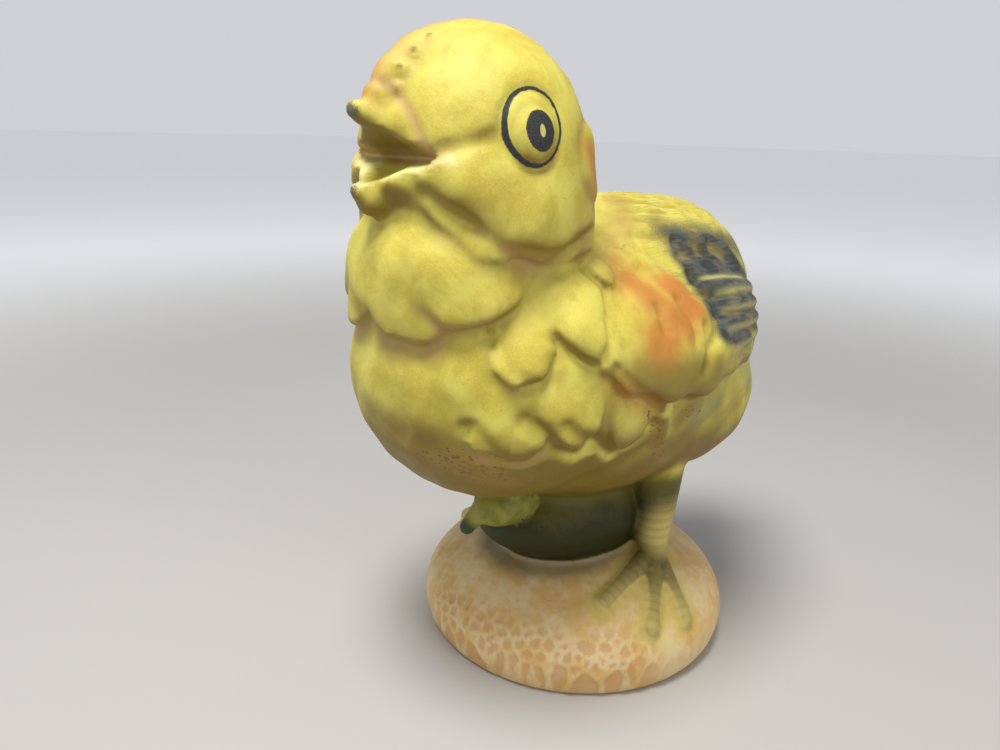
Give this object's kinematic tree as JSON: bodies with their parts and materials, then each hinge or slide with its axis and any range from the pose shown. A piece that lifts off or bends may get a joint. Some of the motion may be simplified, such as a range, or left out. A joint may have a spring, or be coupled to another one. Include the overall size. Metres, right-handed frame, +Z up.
{
  "type": "rubber squeeze toy chick",
  "caption": "Hollow rubber squeeze toy: a chick standing on a mound, with a plug in its foot that holds a metal reed whistle.",
  "frame": {"origin": "on the plane that the toy stands on, under the middle of its bounding box", "axes": "+Z up; the chick faces -Y; its left side is +X"},
  "size_m": [0.091, 0.1425, 0.165],
  "materials": {
    "painted_rubber": "matt sprayed paint on moulded rubber, worn",
    "plug_rubber": "matt, aged",
    "whistle_metal": "drawn, dulled",
    "plate_brass": "stamped, dulled",
    "reed_bronze": "rolled strip"
  },
  "bodies": {
    "toy": {"body_skin": "painted_rubber", "sole_plug": "plug_rubber", "whistle_cup": "whistle_metal", "spacer_ring": "whistle_metal", "reed_plate": "plate_brass", "reed_rivet": "plate_brass", "whistle_cap": "whistle_metal"},
    "reed_tongue": {"reed": "reed_bronze"}
  },
  "joints": [
    {"name": "reed_flex", "type": "hinge", "parent": "toy", "child": "reed_tongue", "pos_m": [0, -0.005, 0.0045], "axis": [1, 0, 0], "range_deg": [-3, 3], "stiffness_Nm_per_rad": 0.06}
  ]
}
